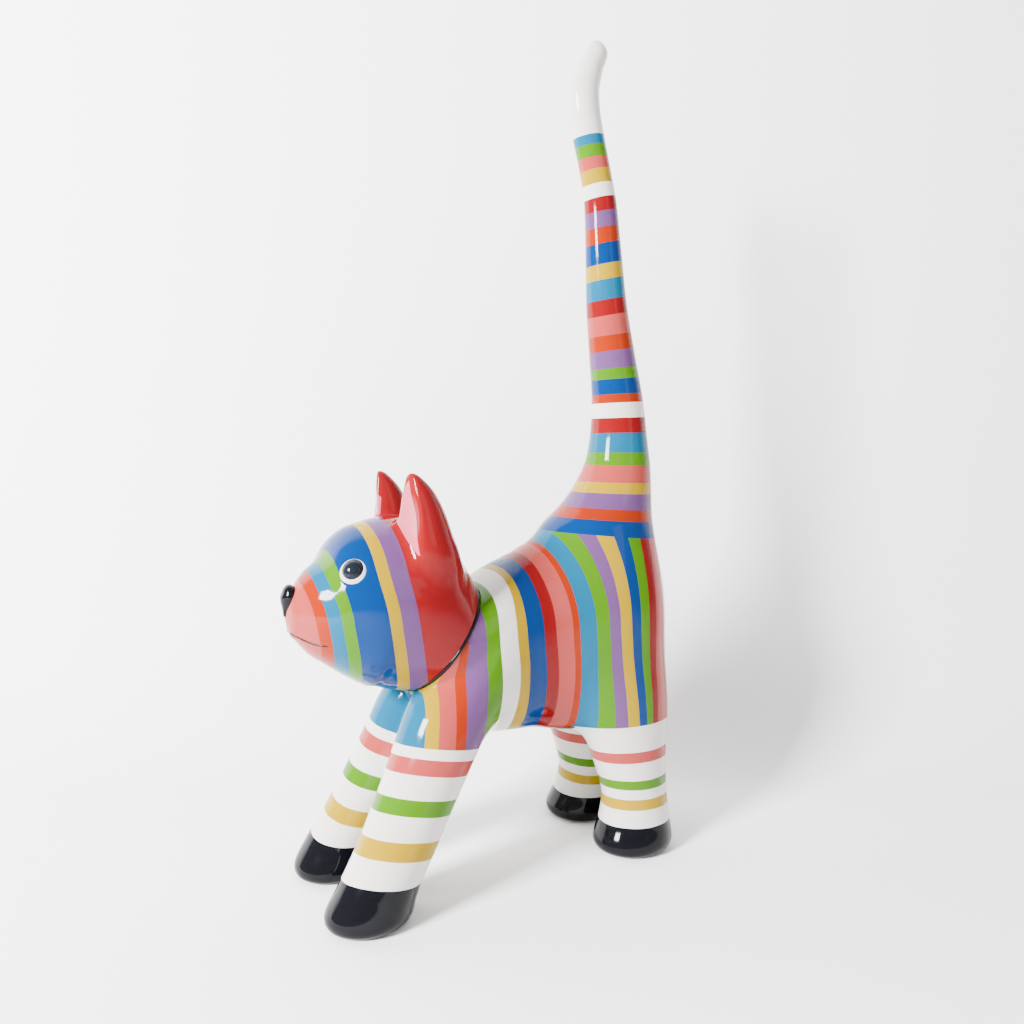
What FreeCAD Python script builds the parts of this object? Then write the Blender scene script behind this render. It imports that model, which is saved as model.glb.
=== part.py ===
import FreeCAD, Part
import math
import os
import Sketcher
from FreeCAD import Placement, Rotation, Vector

# A standing cat carved in wood, painted in stripes and varnished. Millimetres.
# +Z is up, the cat faces -Y and its left side is +X. The origin is on the ground,
# under the middle of the figure's box. Every piece is carved on its own, pegged with
# dowels and glued; only the head stays loose, push-fitted on its neck dowel.

doc = FreeCAD.newDocument("StripedCat")
sheet = doc.addObject("Spreadsheet::Sheet", "Sizes")
sheet_row = 0


def size(alias, value):
    """Writes one driving dimension to the sheet under its alias and returns it."""
    global sheet_row
    sheet_row += 1
    sheet.set(f"A{sheet_row}", alias)
    sheet.set(f"B{sheet_row}", str(value))
    sheet.setAlias(f"B{sheet_row}", alias)
    return value


# ---- driving dimensions -------------------------------------------------------------
NECK_Y = size("neck_y", -40.2)            # centre of the torso's neck face
NECK_Z = size("neck_z", 171.0)
NECK_RADIUS = size("neck_radius", 42.7)
NECK_LEAN = size("neck_lean", 36.5)       # neck face leans back from upright, degrees
RING_THICK = size("ring_thick", 2.4)      # black ring in the neck seam
RING_PROUD = size("ring_proud", 0.6)
RING_BORE = size("ring_bore", 30.0)
RUN_GAP = size("run_gap", 0.3)            # between the ring and the head that turns on it
FIT = size("fit", 0.05)                   # radial clearance of every dowel in its hole

NECK_DOWEL = size("neck_dowel_radius", 12.0)
NECK_IN_TORSO = size("neck_dowel_in_torso", 45.0)
NECK_IN_HEAD = size("neck_dowel_in_head", 40.0)
TAIL_DOWEL = size("tail_dowel_radius", 8.0)
LEG_DOWEL = size("leg_dowel_radius", 7.0)
DOWEL_DEPTH = size("dowel_depth", 26.0)   # into each of the two pieces it joins
EAR_PEG = size("ear_peg_radius", 3.0)
EAR_PEG_DEPTH = size("ear_peg_depth", 11.0)
HOLE_SPARE = size("hole_spare", 1.0)      # air left at the bottom of a blind hole

EYE_RADIUS = size("eye_radius", 7.2)
EYE_X = size("eye_x", 32.2)
EYE_Y = size("eye_y", -108.0)
EYE_Z = size("eye_z", 226.5)
NOSE_Y = size("nose_y", -137.5)
NOSE_Z = size("nose_z", 207.0)
NOSE_HALF_WIDTH = size("nose_half_width", 8.5)
NOSE_HALF_LENGTH = size("nose_half_length", 6.5)
NOSE_HALF_HEIGHT = size("nose_half_height", 9.0)

FRONT_RING_TILT = -10.0                   # sock tops fall towards the tail, degrees
FRONT_RING_SPLAY = 8.0                    # and rise towards the outside
HIND_RING_SPLAY = 5.0

# ---- cross-sections -----------------------------------------------------------------
# Each is an ellipse: centre x, y, z, then half width (across the cat), half depth
# (along the cat, or up in an upright section), tilt and splay in degrees.

TRUNK = [
    (0, NECK_Y, NECK_Z, NECK_RADIUS, NECK_RADIUS + 0.05, NECK_LEAN, 0),
    (0, -20, 162, 42, 52, 22, 0),
    (0, 2, 157.5, 41, 60.5, 8, 0),
    (0, 28, 161, 41, 65, 0, 0),
    (0, 56, 166, 43, 69, 0, 0),
    (0, 90, 168, 45.5, 70, 0, 0),
    (0, 116, 168, 43, 68, 0, 0),
    (0, 136, 167, 26, 50, 0, 0),
]
RUMP = [
    (0, 94, 180, 42, 44, 0, 0),
    (0, 94, 220, 41, 45, 0, 0),
    (0, 95, 245, 39, 46.5, 0, 0),
]
TAIL = [
    (0, 95, 245, 39, 46.5, 0, 0),
    (0, 101, 257, 34, 38, 0, 0),
    (0, 107.5, 271, 29.6, 31, 0, 0),
    (0, 112.4, 290, 25.3, 25.5, 0, 0),
    (0, 113.2, 308, 22.4, 22.5, 0, 0),
    (0, 112.2, 335, 20, 20.1, 0, 0),
    (0, 106.2, 375, 17.4, 17.5, 0, 0),
    (0, 100.8, 412, 15.3, 15.4, 0, 0),
    (0, 96.6, 464, 12.9, 13, 0, 0),
    (0, 89.4, 508, 11.6, 11.7, 0, 0),
    (0, 79.3, 553, 11.3, 11.4, 0, 0),
    (0, 84.6, 577, 9.8, 9.9, 20, 0),
    (0, 90.4, 591, 7.8, 7.9, 20, 0),
    (0, 93.2, 598.4, 4, 4.1, 20, 0),
]
HEAD = [
    (0, NECK_Y, NECK_Z, NECK_RADIUS, NECK_RADIUS + 0.05, NECK_LEAN, 0),
    (0, -58, 184, 47, 50.5, 24, 0),
    (0, -78, 197, 49, 58.5, 10, 0),
    (0, -98, 197, 46, 53, 0, 0),
    (0, -116, 192.5, 38, 40.5, 0, 0),
    (0, -130, 191, 27, 29, 0, 0),
    (0, -139, 193, 15, 17, 0, 0),
]
FRONT_STUMP = [
    (21, -24, 143, 19, 26, FRONT_RING_TILT, FRONT_RING_SPLAY),
    (24, -38, 126, 23, 28, FRONT_RING_TILT, FRONT_RING_SPLAY),
    (27.3, -52.5, 104, 27, 30.5, FRONT_RING_TILT, FRONT_RING_SPLAY),
]
FRONT_LEG = [
    (27.3, -52.5, 104, 27, 30.5, FRONT_RING_TILT, FRONT_RING_SPLAY),
    (30.3, -64, 83, 25.5, 29, FRONT_RING_TILT, FRONT_RING_SPLAY),
    (33, -75.5, 62, 24.5, 28, FRONT_RING_TILT, FRONT_RING_SPLAY),
    (36, -87.5, 41, 24, 27.5, FRONT_RING_TILT, FRONT_RING_SPLAY),
    (38, -98.5, 23, 24, 27.5, -8, 5),
    (37.5, -105, 8, 25.5, 28.5, 0, 0),
    (36.5, -106, 0, 20, 23, 0, 0),
]
HIND_STUMP = [
    (20, 95, 150, 22, 34, 0, 0),
    (24, 99, 120, 28, 38, 0, 0),
    (28, 103, 97, 27, 37, 0, HIND_RING_SPLAY),
]
HIND_LEG = [
    (28, 103, 97, 27, 37, 0, HIND_RING_SPLAY),
    (28.3, 105, 77, 26.8, 33, 0, HIND_RING_SPLAY),
    (29.6, 109, 56, 26, 28, 0, HIND_RING_SPLAY),
    (31, 111, 42, 24.5, 25.5, 0, HIND_RING_SPLAY),
    (33, 109.5, 22, 26, 28, -4, 3),
    (34.5, 106, 7, 28, 32, 0, 0),
    (34.5, 106, 0, 22, 26, 0, 0),
]
EAR_TILT = -10.0                          # the ear's foot slopes with the skull
EAR_SPLAY = -24.0
EAR_STUMP = [
    (24, -60, 222, 15, 22, EAR_TILT, EAR_SPLAY),
    (31, -64, 244, 13, 20.5, EAR_TILT, EAR_SPLAY),
]
EAR = [
    (31, -64, 244, 13, 20.5, EAR_TILT, EAR_SPLAY),
    (32.5, -66, 256, 11, 17, EAR_TILT, EAR_SPLAY),
    (32.5, -67.5, 267, 8.5, 12.5, EAR_TILT, EAR_SPLAY),
    (31.5, -69.5, 277, 5, 7.5, EAR_TILT, EAR_SPLAY),
    (30.5, -71, 283, 2, 3, EAR_TILT, EAR_SPLAY),
]


def lean(tilt, splay, upright):
    """Turns a section's plane: back from upright, or about a level plane's two axes."""
    if upright:
        return Rotation(Vector(1, 0, 0), -tilt)
    angle = math.hypot(tilt, splay)
    if angle == 0:
        return Rotation()
    return Rotation(Vector(tilt, -splay, 0), angle)


def section_frame(section, upright):
    """Where a section's sketch sits on its body's XZ plane (upright) or XY plane."""
    x, y, z, half_width, half_depth, tilt, splay = section
    base = Vector(x, z, -y) if upright else Vector(x, y, z)
    return Placement(base, lean(tilt, splay, upright))


def origin_plane(body, role):
    return next(item for item in body.Origin.OriginFeatures if item.Role == role)


def attached_sketch(body, name, role, frame):
    """A sketch on one of its own body's origin planes, moved to the frame."""
    sketch = body.newObject("Sketcher::SketchObject", name)
    sketch.AttachmentSupport = [(origin_plane(body, role), "")]
    sketch.MapMode = "FlatFace"
    sketch.AttachmentOffset = frame
    return sketch


def bind_place(sketch, frame, prefix):
    """Keeps the sketch's place in the sheet and binds the sketch to it."""
    for axis in ("x", "y", "z"):
        alias = f"{prefix}_at_{axis}"
        size(alias, round(getattr(frame.Base, axis), 4))
        sketch.setExpression(f"AttachmentOffset.Base.{axis}", f"Sizes.{alias}")


def ellipse_sketch(body, name, section, upright, mirror):
    """One section as a sketched ellipse, its long axis along the sketch's Y."""
    x, y, z, half_width, half_depth, tilt, splay = section
    placed = (mirror * x, y, z, half_width, half_depth, tilt, mirror * splay)
    frame = section_frame(placed, upright)
    role = "XZ_Plane" if upright else "XY_Plane"
    sketch = attached_sketch(body, name, role, frame)
    sketch.addGeometry(Part.Ellipse(Vector(0, half_depth, 0), Vector(half_width, 0, 0), Vector()))
    sketch.exposeInternalGeometry(0)
    sketch.addConstraint(Sketcher.Constraint("Coincident", 0, 3, -1, 1))
    sketch.addConstraint(Sketcher.Constraint("Vertical", 1))
    long_axis = sketch.addConstraint(Sketcher.Constraint("Distance", 1, 2 * half_depth))
    short_axis = sketch.addConstraint(Sketcher.Constraint("Distance", 2, 2 * half_width))
    size(f"{name}_depth", 2 * half_depth)
    size(f"{name}_width", 2 * half_width)
    sketch.setExpression(f"Constraints[{long_axis}]", f"Sizes.{name}_depth")
    sketch.setExpression(f"Constraints[{short_axis}]", f"Sizes.{name}_width")
    bind_place(sketch, frame, name)
    return sketch


def circle_sketch(body, name, role, frame, radius_expression, radius):
    """A circle on a frame, its radius bound to the sheet."""
    sketch = attached_sketch(body, name, role, frame)
    sketch.addGeometry(Part.Circle(Vector(), Vector(0, 0, 1), radius))
    sketch.addConstraint(Sketcher.Constraint("Coincident", 0, 3, -1, 1))
    bound = sketch.addConstraint(Sketcher.Constraint("Radius", 0, radius))
    sketch.setExpression(f"Constraints[{bound}]", radius_expression)
    return sketch


def loft(body, name, sections, upright=False, mirror=1):
    """A smooth loft through the sections, added to the body."""
    sketches = [
        ellipse_sketch(body, f"{name}_{index}", section, upright, mirror)
        for index, section in enumerate(sections, 1)
    ]
    solid = body.newObject("PartDesign::AdditiveLoft", name)
    solid.Profile = sketches[0]
    solid.Sections = sketches[1:]
    doc.recompute()
    return solid


def hole(body, name, role, frame, radius_alias, radius, depth_alias, forward):
    """A blind dowel hole from the frame's plane; forward is along the plane's normal."""
    before = body.Shape.Volume
    profile = circle_sketch(body, f"{name}_circle", role, frame,
                            f"Sizes.{radius_alias} + Sizes.fit", radius + FIT)
    pocket = body.newObject("PartDesign::Pocket", name)
    pocket.Profile = profile
    pocket.Reversed = forward
    pocket.setExpression("Length", f"Sizes.{depth_alias} + Sizes.hole_spare")
    doc.recompute()
    if body.Shape.Volume > before - 1:
        raise RuntimeError(f"{name} cut nothing from {body.Label}")
    return pocket


def dowel(label, role, frame, radius_alias, radius, below_alias, below, above_alias):
    """A round peg across the seam plane, so long below it and so long above it."""
    body = doc.addObject("PartDesign::Body", label)
    down = Placement(frame.Base + frame.Rotation.multVec(Vector(0, 0, -below)), frame.Rotation)
    profile = circle_sketch(body, f"{label}_circle", role, down, f"Sizes.{radius_alias}", radius)
    pad = body.newObject("PartDesign::Pad", f"{label}_pad")
    pad.Profile = profile
    pad.setExpression("Length", f"Sizes.{below_alias} + Sizes.{above_alias}")
    doc.recompute()
    return body


def mirrored(section, side):
    x, y, z, half_width, half_depth, tilt, splay = section
    return (side * x, y, z, half_width, half_depth, tilt, side * splay)


SIDES = (("left", 1), ("right", -1))
neck_frame = section_frame(TRUNK[0], True)
tail_frame = section_frame(TAIL[0], False)
neck_normal = Vector(0, -math.cos(math.radians(NECK_LEAN)), math.sin(math.radians(NECK_LEAN)))


def along_neck(distance):
    """The neck frame moved forward along the neck's axis, in the XZ plane's own axes."""
    return Placement(neck_frame.Base + neck_frame.Rotation.multVec(Vector(0, 0, distance)),
                     neck_frame.Rotation)


# ---- torso --------------------------------------------------------------------------
def make_torso():
    """The trunk with short stumps that the legs and the tail are glued to."""
    body = doc.addObject("PartDesign::Body", "torso")
    loft(body, "trunk", TRUNK, upright=True)
    loft(body, "rump", RUMP)
    for side_name, side in SIDES:
        loft(body, f"front_stump_{side_name}", FRONT_STUMP, mirror=side)
        loft(body, f"hind_stump_{side_name}", HIND_STUMP, mirror=side)
    hole(body, "neck_socket", "XZ_Plane", neck_frame, "neck_dowel_radius", NECK_DOWEL,
         "neck_dowel_in_torso", False)
    hole(body, "tail_socket", "XY_Plane", tail_frame, "tail_dowel_radius", TAIL_DOWEL,
         "dowel_depth", False)
    for side_name, side in SIDES:
        for leg_name, sections in (("front", FRONT_LEG), ("hind", HIND_LEG)):
            frame = section_frame(mirrored(sections[0], side), False)
            hole(body, f"{leg_name}_socket_{side_name}", "XY_Plane", frame, "leg_dowel_radius",
                 LEG_DOWEL, "dowel_depth", True)
    return body


# ---- legs and tail ------------------------------------------------------------------
def make_leg(leg_name, side_name, side, sections):
    body = doc.addObject("PartDesign::Body", f"{leg_name}_leg_{side_name}")
    loft(body, f"{leg_name}_shape_{side_name}", sections, mirror=side)
    frame = section_frame(mirrored(sections[0], side), False)
    hole(body, f"{leg_name}_leg_hole_{side_name}", "XY_Plane", frame, "leg_dowel_radius",
         LEG_DOWEL, "dowel_depth", False)
    peg = dowel(f"{leg_name}_leg_dowel_{side_name}", "XY_Plane", frame, "leg_dowel_radius",
                LEG_DOWEL, "dowel_depth", DOWEL_DEPTH, "dowel_depth")
    return [body, peg]


def make_tail():
    body = doc.addObject("PartDesign::Body", "tail")
    loft(body, "tail_shape", TAIL)
    hole(body, "tail_hole", "XY_Plane", tail_frame, "tail_dowel_radius", TAIL_DOWEL,
         "dowel_depth", True)
    peg = dowel("tail_dowel", "XY_Plane", tail_frame, "tail_dowel_radius", TAIL_DOWEL,
                "dowel_depth", DOWEL_DEPTH, "dowel_depth")
    return [body, peg]


# ---- neck ---------------------------------------------------------------------------
def make_neck_ring():
    """The flat black ring between the neck faces, glued to the torso's face."""
    body = doc.addObject("PartDesign::Body", "neck_ring")
    disc = circle_sketch(body, "ring_outline", "XZ_Plane", neck_frame,
                         "Sizes.neck_radius + Sizes.ring_proud", NECK_RADIUS + RING_PROUD)
    disc.addGeometry(Part.Circle(Vector(), Vector(0, 0, 1), RING_BORE))
    disc.addConstraint(Sketcher.Constraint("Coincident", 1, 3, -1, 1))
    bore = disc.addConstraint(Sketcher.Constraint("Radius", 1, RING_BORE))
    disc.setExpression(f"Constraints[{bore}]", "Sizes.ring_bore")
    pad = body.newObject("PartDesign::Pad", "ring_pad")
    pad.Profile = disc
    pad.setExpression("Length", "Sizes.ring_thick")
    doc.recompute()
    return body


def make_neck_dowel():
    return dowel("neck_dowel", "XZ_Plane", neck_frame, "neck_dowel_radius", NECK_DOWEL,
                 "neck_dowel_in_torso", NECK_IN_TORSO, "neck_dowel_in_head")


# ---- head ---------------------------------------------------------------------------
def ellipsoid(body, kind, name, centre, radii, grow_expression):
    """An ellipsoid feature with radii (across, along, up), grown by the fit if it cuts."""
    solid = body.newObject(f"PartDesign::{kind}Ellipsoid", name)
    solid.Placement = Placement(centre, Rotation())
    for prop, alias in zip(("Radius2", "Radius3", "Radius1"), radii):
        solid.setExpression(prop, f"Sizes.{alias}{grow_expression}")
    solid.Angle1 = -90
    solid.Angle2 = 90
    solid.Angle3 = 360
    doc.recompute()
    return solid


EYE_RADII = ("eye_radius", "eye_radius", "eye_radius")
NOSE_RADII = ("nose_half_width", "nose_half_length", "nose_half_height")


def make_head():
    """Skull and muzzle in one loft, with feet for the ears and seats for eyes and nose."""
    body = doc.addObject("PartDesign::Body", "head")
    start = neck_normal * (RING_THICK + RUN_GAP)
    neck_section = (0, NECK_Y + start.y, NECK_Z + start.z) + HEAD[0][3:]
    loft(body, "skull", [neck_section] + HEAD[1:], upright=True)
    for side_name, side in SIDES:
        loft(body, f"ear_foot_{side_name}", EAR_STUMP, mirror=side)
    hole(body, "head_bore", "XZ_Plane", along_neck(0), "neck_dowel_radius", NECK_DOWEL,
         "neck_dowel_in_head", True)
    for side_name, side in SIDES:
        frame = section_frame(mirrored(EAR[0], side), False)
        hole(body, f"ear_socket_{side_name}", "XY_Plane", frame, "ear_peg_radius", EAR_PEG,
             "ear_peg_depth", False)
        ellipsoid(body, "Subtractive", f"eye_socket_{side_name}",
                  Vector(side * EYE_X, EYE_Y, EYE_Z), EYE_RADII, " + Sizes.fit")
    ellipsoid(body, "Subtractive", "nose_seat", Vector(0, NOSE_Y, NOSE_Z), NOSE_RADII,
              " + Sizes.fit")
    return body


def make_ear(side_name, side):
    body = doc.addObject("PartDesign::Body", f"ear_{side_name}")
    loft(body, f"ear_shape_{side_name}", EAR, mirror=side)
    frame = section_frame(mirrored(EAR[0], side), False)
    hole(body, f"ear_hole_{side_name}", "XY_Plane", frame, "ear_peg_radius", EAR_PEG,
         "ear_peg_depth", True)
    peg = dowel(f"ear_peg_{side_name}", "XY_Plane", frame, "ear_peg_radius", EAR_PEG,
                "ear_peg_depth", EAR_PEG_DEPTH, "ear_peg_depth")
    return [body, peg]


def make_eye(side_name, side):
    body = doc.addObject("PartDesign::Body", f"eye_{side_name}")
    ellipsoid(body, "Additive", f"eye_bead_{side_name}", Vector(side * EYE_X, EYE_Y, EYE_Z),
              EYE_RADII, "")
    return body


def make_nose():
    body = doc.addObject("PartDesign::Body", "nose")
    ellipsoid(body, "Additive", "nose_button", Vector(0, NOSE_Y, NOSE_Z), NOSE_RADII, "")
    return body


# ---- assembly and export ------------------------------------------------------------
pieces = [make_torso(), make_neck_ring(), make_neck_dowel(), make_head(), make_nose()]
pieces += make_tail()
for side_name, side in SIDES:
    pieces += make_leg("front", side_name, side, FRONT_LEG)
    pieces += make_leg("hind", side_name, side, HIND_LEG)
    pieces += make_ear(side_name, side)
    pieces.append(make_eye(side_name, side))

doc.recompute()
for item in doc.Objects:
    if "Invalid" in item.State or "Error" in item.State:
        raise RuntimeError(f"{item.Name} failed: {item.State}")

os.makedirs("parts", exist_ok=True)
for piece in pieces:
    if piece.Shape.isNull() or not piece.Shape.isValid() or len(piece.Shape.Solids) != 1:
        raise RuntimeError(f"{piece.Label} is not one valid solid")
    piece.Shape.exportStep(f"parts/{piece.Label}.step")
    box = piece.Shape.BoundBox
    print(f"{piece.Label:24s} {piece.Shape.Volume / 1000:8.1f} cm3  x {box.XMin:.1f} {box.XMax:.1f}"
          f"  y {box.YMin:.1f} {box.YMax:.1f}  z {box.ZMin:.1f} {box.ZMax:.1f}")
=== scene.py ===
import math

import bmesh
import bpy
import numpy as np
from mathutils import Matrix, Vector


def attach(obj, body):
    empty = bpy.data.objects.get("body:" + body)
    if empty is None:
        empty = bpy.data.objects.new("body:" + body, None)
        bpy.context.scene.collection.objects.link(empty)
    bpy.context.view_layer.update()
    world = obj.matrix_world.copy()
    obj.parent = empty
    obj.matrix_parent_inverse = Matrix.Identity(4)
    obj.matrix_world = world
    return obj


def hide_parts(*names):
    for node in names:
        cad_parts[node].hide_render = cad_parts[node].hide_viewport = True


# The striped cat's looks: each carved piece is sculpted as a smooth field, cut at the real
# seams, bored for its dowel and painted in stripes under gloss varnish.
# The sculpting below is in millimetres in the part's own frame; meshes are made in metres.

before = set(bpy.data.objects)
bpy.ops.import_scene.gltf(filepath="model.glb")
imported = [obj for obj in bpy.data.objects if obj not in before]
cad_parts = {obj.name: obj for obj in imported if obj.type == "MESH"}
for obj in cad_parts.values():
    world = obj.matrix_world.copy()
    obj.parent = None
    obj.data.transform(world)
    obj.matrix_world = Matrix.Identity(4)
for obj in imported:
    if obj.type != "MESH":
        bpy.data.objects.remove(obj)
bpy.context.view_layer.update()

MM = 0.001
SIDES = (("left", 1), ("right", -1))       # the cat's own left is +X
BODY_STEP = 2.0     # surface sampling, mm
HEAD_STEP = 1.5


# ---- smooth helpers -----------------------------------------------------------------
def spline(knots, values, at):
    """A smooth curve through the knots, held level beyond its ends."""
    knots = np.asarray(knots, float)
    values = np.asarray(values, float)
    at = np.clip(at, knots[0], knots[-1])
    slopes = np.gradient(values, knots)
    i = np.clip(np.searchsorted(knots, at) - 1, 0, len(knots) - 2)
    step = knots[i + 1] - knots[i]
    u = (at - knots[i]) / step
    return (values[i] * (1 + 2 * u) * (1 - u) ** 2 + values[i + 1] * u * u * (3 - 2 * u)
            + step * (slopes[i] * u * (1 - u) ** 2 - slopes[i + 1] * u * u * (1 - u)))


def join(a, b, soft):
    """Union of two fields with a fillet."""
    h = np.maximum(soft - np.abs(a - b), 0) / np.maximum(soft, 1e-9)
    return np.minimum(a, b) - h * h * soft / 4


def cut(a, b, soft):
    """What two fields share, with a rounded edge."""
    return -join(-a, -b, soft)


def oval(across, up, half_across, half_up, power=2.0):
    reach = np.hypot(across, up) + 1e-6
    ratio = (np.abs(across / half_across) ** power
             + np.abs(up / half_up) ** power) ** (1 / power)
    return reach - reach / np.maximum(ratio, 1e-6)


def ellipsoid(p, centre, radii):
    q = p - np.array(centre, float)
    reach = np.linalg.norm(q, axis=-1) + 1e-6
    ratio = np.linalg.norm(q / np.array(radii, float), axis=-1)
    return reach - reach / np.maximum(ratio, 1e-6)


def smoothstep(v, low, high):
    t = np.clip((v - low) / (high - low), 0, 1)
    return t * t * (3 - 2 * t)


# ---- the neck seam ------------------------------------------------------------------
NECK = np.array([0.0, -40.2, 171.0])
LEAN = math.radians(36.5)
NECK_RADIUS = 42.7
AXIS = np.array([0.0, -math.cos(LEAN), math.sin(LEAN)])
RING_THICK = 2.4
RING_PROUD = 1.0
RING_BORE = 30.0
RING_COUNT = 160                            # steps round the ring
HEAD_GAP = 2.7                              # ring thickness and the running gap
DOWEL_FIT = 0.05


def ahead_of_neck(p):
    return (p - NECK) @ AXIS


# ---- body ---------------------------------------------------------------------------
# The trunk's sections swing round a hinge line above the back so the front ones lie
# along the leaning neck. Rows: station, depth of centre, half height, half width.
FAN_Y, FAN_Z, FAN_ARM = 30.0, 266.0, 110.0


def fan(degrees):
    return -math.radians(degrees) * FAN_ARM


TRUNK = [
    (fan(36.5), math.hypot(FAN_Y - NECK[1], FAN_Z - NECK[2]), NECK_RADIUS, NECK_RADIUS),
    (fan(29), 112.0, 54.5, 43.5),
    (fan(17), 108.8, 64.0, 43.0),
    (fan(7), 105.4, 65.9, 42.0),
    (0, 103.8, 67.0, 41.5),
    (15, 102.0, 68.5, 42.0),
    (35, 99.5, 70.0, 43.0),
    (65, 98.0, 70.0, 43.5),
    (93, 99.5, 66.0, 37.0),
    (107, 101.0, 50.0, 22.0),
]
TRUNK_REAR = 134.5


def trunk(p):
    x, y, z = p[..., 0], p[..., 1], p[..., 2]
    ahead = np.maximum(FAN_Y - y, 0)
    below = FAN_Z - z
    depth = np.where(y < FAN_Y, np.hypot(ahead, below) * np.sign(below), below)
    swing = np.arctan2(ahead, np.maximum(below, 1.0))
    station = np.where(y < FAN_Y, -swing * FAN_ARM, y - FAN_Y)
    k = np.array(TRUNK, float)
    centre, half_up, half_across = (spline(k[:, 0], k[:, i], station) for i in (1, 2, 3))
    whole = oval(x, depth - centre, half_across, half_up, 2.15)
    return cut(whole, y - TRUNK_REAR, 12.0)


def limb(p, stations, side=1):
    """Level ovals stacked up Z. Rows: z, centre x, centre y, half x, half y."""
    k = np.array(sorted(stations), float)
    cx, cy, hx, hy = (spline(k[:, 0], k[:, i], p[..., 2]) for i in (1, 2, 3, 4))
    return oval(p[..., 0] - cx * side, p[..., 1] - cy, hx, hy)


TAIL = [
    (90, 0, 96, 41, 40), (130, 0, 97, 43, 41), (170, 0, 97, 43.5, 41.5),
    (205, 0, 96.3, 43, 41.8), (230, 0, 96, 41, 41.6), (245, 0, 97, 38.5, 40.8),
    (257, 0, 102, 34, 36), (271, 0, 107.5, 29.6, 31), (290, 0, 112.4, 25.3, 25.5),
    (308, 0, 113.2, 22.5, 22.5), (335, 0, 112.2, 20.1, 20.1), (375, 0, 106.2, 17.4, 17.5),
    (412, 0, 100.8, 15.3, 15.4), (439, 0, 98.6, 14.0, 14.1), (464, 0, 96.6, 12.9, 13),
    (486, 0, 94.3, 12.1, 12.2), (508, 0, 89.4, 11.6, 11.8), (530, 0, 83.6, 11.5, 12.0),
    (549, 0, 79.6, 11.4, 12.0), (563, 0, 79.2, 11.0, 11.6), (578, 0, 83.6, 9.8, 10.4),
    (592, 0, 88.5, 7.8, 8.2),
]


def tail(p):
    column = cut(limb(p, TAIL), p[..., 2] - 591.0, 4.0)
    column = cut(column, 98.0 - p[..., 2], 24.0)
    tip = ellipsoid(p, (0, 89.5, 590.5), (7.9, 8.0, 9.2))
    return join(column, tip, 5.0)


FRONT_LEG = [
    (168, 17, -12, 14, 20), (150, 20, -25, 23, 30), (128, 23.8, -39, 27, 33),
    (104, 27.3, -52.5, 27, 30.5), (83, 30.3, -64, 25.5, 29), (62, 33, -75.5, 24.5, 28),
    (41, 36, -87.5, 24, 27.5), (23, 38, -98.5, 24, 27.5), (8, 37.5, -105, 26, 29),
    (0, 37, -106, 26, 29),
]
HIND_LEG = [
    (165, 14, 98, 22, 31), (150, 17, 98, 26, 35), (125, 22, 99.5, 30, 38),
    (97, 27.6, 101.5, 27.3, 35.5), (77, 28.6, 103.5, 26.8, 31), (56, 30, 106.5, 25.6, 26.8),
    (42, 31, 108.5, 24.5, 25.2), (22, 33, 107.5, 26, 27.5), (8, 34.5, 105, 28, 31),
    (0, 34.5, 104.5, 28, 31),
]
SOLE_ROUND = 9.0


def leg(p, stations, side):
    z = p[..., 2]
    top = max(row[0] for row in stations)
    whole = cut(limb(p, stations, side), z - top, 20.0)
    return cut(whole, -z, SOLE_ROUND)


def body(p):
    whole = join(trunk(p), tail(p), 34.0)
    free = smoothstep(-ahead_of_neck(p), 0.0, 26.0)
    for side in (1, -1):
        whole = join(whole, leg(p, HIND_LEG, side), 14.0)
        whole = join(whole, leg(p, FRONT_LEG, side), 1e-3 + 22.0 * free)
    return whole


# ---- head ---------------------------------------------------------------------------
# The skull's sections swing round a line below it, from the neck plane to upright.
HEAD_Y = -98.0
HEAD_Z = NECK[2] - (NECK[1] - HEAD_Y) / math.tan(LEAN)
HEAD_ARM = 104.0


def turn(degrees):
    return math.radians(degrees) * HEAD_ARM


HEAD = [
    (-48, 103.0, 2.5, 2.5), (-46, 103, 11.5, 9.0), (-42, 103, 17.5, 15.5),
    (-34.5, 103, 26.8, 25.5), (-25, 103.5, 34.5, 34.5), (-19, 106, 41.5, 38.8),
    (-11, 107.0, 48.0, 43.0), (0, 106.0, 53.8, 47.0), (turn(10), 108.0, 57.6, 49.0),
    (turn(22), 104.5, 54.6, 47.8), (turn(30), 100.0, 48.5, 45.2),
    (turn(36.5), math.hypot(NECK[1] - HEAD_Y, NECK[2] - HEAD_Z), NECK_RADIUS, NECK_RADIUS),
]
MUZZLE_END = -146.0


def skull(p):
    x, y, z = p[..., 0], p[..., 1], p[..., 2]
    behind = np.maximum(y - HEAD_Y, 0)
    above = z - HEAD_Z
    height = np.where(y > HEAD_Y, np.hypot(behind, above) * np.sign(above), above)
    swing = np.arctan2(behind, np.maximum(above, 1.0))
    station = np.where(y > HEAD_Y, swing * HEAD_ARM, y - HEAD_Y)
    k = np.array(HEAD, float)
    centre, half_up, half_across = (spline(k[:, 0], k[:, i], station) for i in (1, 2, 3))
    whole = oval(x, height - centre, half_across, half_up)
    return cut(whole, MUZZLE_END - y, 4.0)


EYE_SEEN = np.array([34.0, -112.0, 227.0])  # where the bead's middle meets the skull
EYE_RADIUS = 7.9
EYE_SUNK = 3.7
NOSE = np.array([0.0, -143.4, 206.2])

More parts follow.
